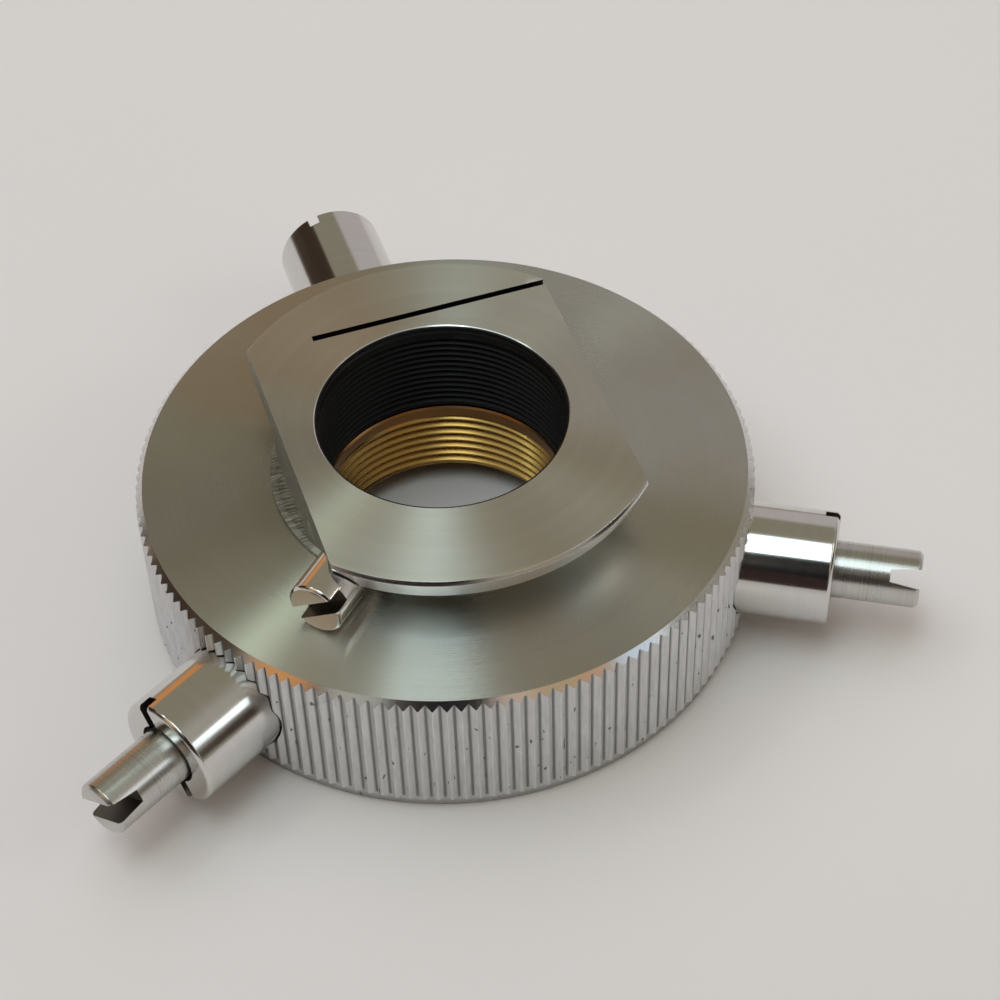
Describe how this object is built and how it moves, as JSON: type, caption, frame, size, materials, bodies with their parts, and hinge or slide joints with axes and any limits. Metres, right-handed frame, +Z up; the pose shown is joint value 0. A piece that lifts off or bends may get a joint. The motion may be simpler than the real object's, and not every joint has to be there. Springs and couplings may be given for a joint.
{
  "type": "centring mount",
  "caption": "Knurled round mount with a dovetail flange and a threaded brass ring that slotted screws and a sprung plunger shift sideways to centre it.",
  "frame": {"origin": "middle of the bottom of the bounding box, on the face the mount stands on; the bore's axis is vertical, 5.3 mm towards -Y from it", "axes": "+Z up along the bore, out of the dovetail flange; +Y along the plunger barrel, parallel to the flange's two flats; +X across the flats"},
  "size_m": [0.071, 0.0618, 0.0188],
  "materials": {
    "turned_steel": "satin plated steel with fine concentric turning marks",
    "screw_steel": "turned steel with fine ring marks",
    "chrome": "bright plated steel, lightly brushed",
    "black_oxide": "matt black, cuts stray light",
    "brass": "bare machined brass",
    "spring_steel": "drawn wire"
  },
  "bodies": {
    "mount": {"housing": "turned_steel", "dovetail_flange": "turned_steel", "threaded_sleeve": "black_oxide", "base_ring": "turned_steel", "base_screw_1": "screw_steel", "base_screw_2": "screw_steel", "base_screw_3": "screw_steel", "flange_screw_1": "screw_steel", "flange_screw_2": "screw_steel", "flange_screw_3": "screw_steel", "left_barrel": "chrome", "right_barrel": "chrome", "plunger_barrel": "chrome"},
    "left_thrust": {"left_pad": "brass"},
    "left_adjuster": {"left_screw": "screw_steel"},
    "right_thrust": {"right_pad": "brass"},
    "right_adjuster": {"right_screw": "screw_steel"},
    "cross_slide": {"slide_washer": "screw_steel"},
    "ring": {"centring_ring": "brass"},
    "spring": {"plunger_spring": "spring_steel"},
    "plunger": {"plunger_pin": "screw_steel"},
    "lock_feed": {"lock_slug": "brass"},
    "lock": {"lock_screw": "chrome"}
  },
  "joints": [
    {"name": "left_screw_feed", "type": "slide", "parent": "mount", "child": "left_thrust", "axis": [0.866, 0.5, 0], "range_m": [-0.00075, 0.00075]},
    {"name": "left_screw_turn", "type": "hinge", "parent": "left_thrust", "child": "left_adjuster", "pos_m": [0, -0.0053, 0.00625], "axis": [0.866, 0.5, 0], "range_deg": [-360, 360]},
    {"name": "right_screw_feed", "type": "slide", "parent": "mount", "child": "right_thrust", "axis": [-0.866, 0.5, 0], "range_m": [-0.00075, 0.00075]},
    {"name": "right_screw_turn", "type": "hinge", "parent": "right_thrust", "child": "right_adjuster", "pos_m": [0, -0.0053, 0.00625], "axis": [-0.866, 0.5, 0], "range_deg": [-360, 360]},
    {"name": "ring_shift_left_screw", "type": "slide", "parent": "mount", "child": "cross_slide", "axis": [0.5, 0.866, 0], "range_m": [-0.00087, 0.00087]},
    {"name": "ring_shift_right_screw", "type": "slide", "parent": "cross_slide", "child": "ring", "axis": [-0.5, 0.866, 0], "range_m": [-0.00087, 0.00087]},
    {"name": "spring_shift", "type": "slide", "parent": "mount", "child": "spring", "axis": [0, 1, 0], "range_m": [-0.00075, 0.00075]},
    {"name": "plunger_shift", "type": "slide", "parent": "spring", "child": "plunger", "axis": [0, 1, 0], "range_m": [-0.00075, 0.00075]},
    {"name": "lock_screw_feed", "type": "slide", "parent": "mount", "child": "lock_feed", "axis": [-0.7314, -0.682, 0], "range_m": [0, 0.001]},
    {"name": "lock_screw_turn", "type": "hinge", "parent": "lock_feed", "child": "lock", "pos_m": [0, -0.0053, 0.0156], "axis": [-0.7314, -0.682, 0], "range_deg": [0, 720]}
  ],
  "couplings": [
    {"joint": "left_screw_turn", "follows": "left_screw_feed", "rad_per_m": 8377.5},
    {"joint": "right_screw_turn", "follows": "right_screw_feed", "rad_per_m": 8377.5},
    {"joint": "ring_shift_left_screw", "follows": "left_screw_feed", "ratio": 1.1547},
    {"joint": "ring_shift_right_screw", "follows": "right_screw_feed", "ratio": 1.1547},
    {"joint": "spring_shift", "follows": "left_screw_feed", "ratio": 0.99999},
    {"joint": "plunger_shift", "follows": "right_screw_feed", "ratio": 0.99999},
    {"joint": "lock_screw_turn", "follows": "lock_screw_feed", "rad_per_m": 12566}
  ]
}
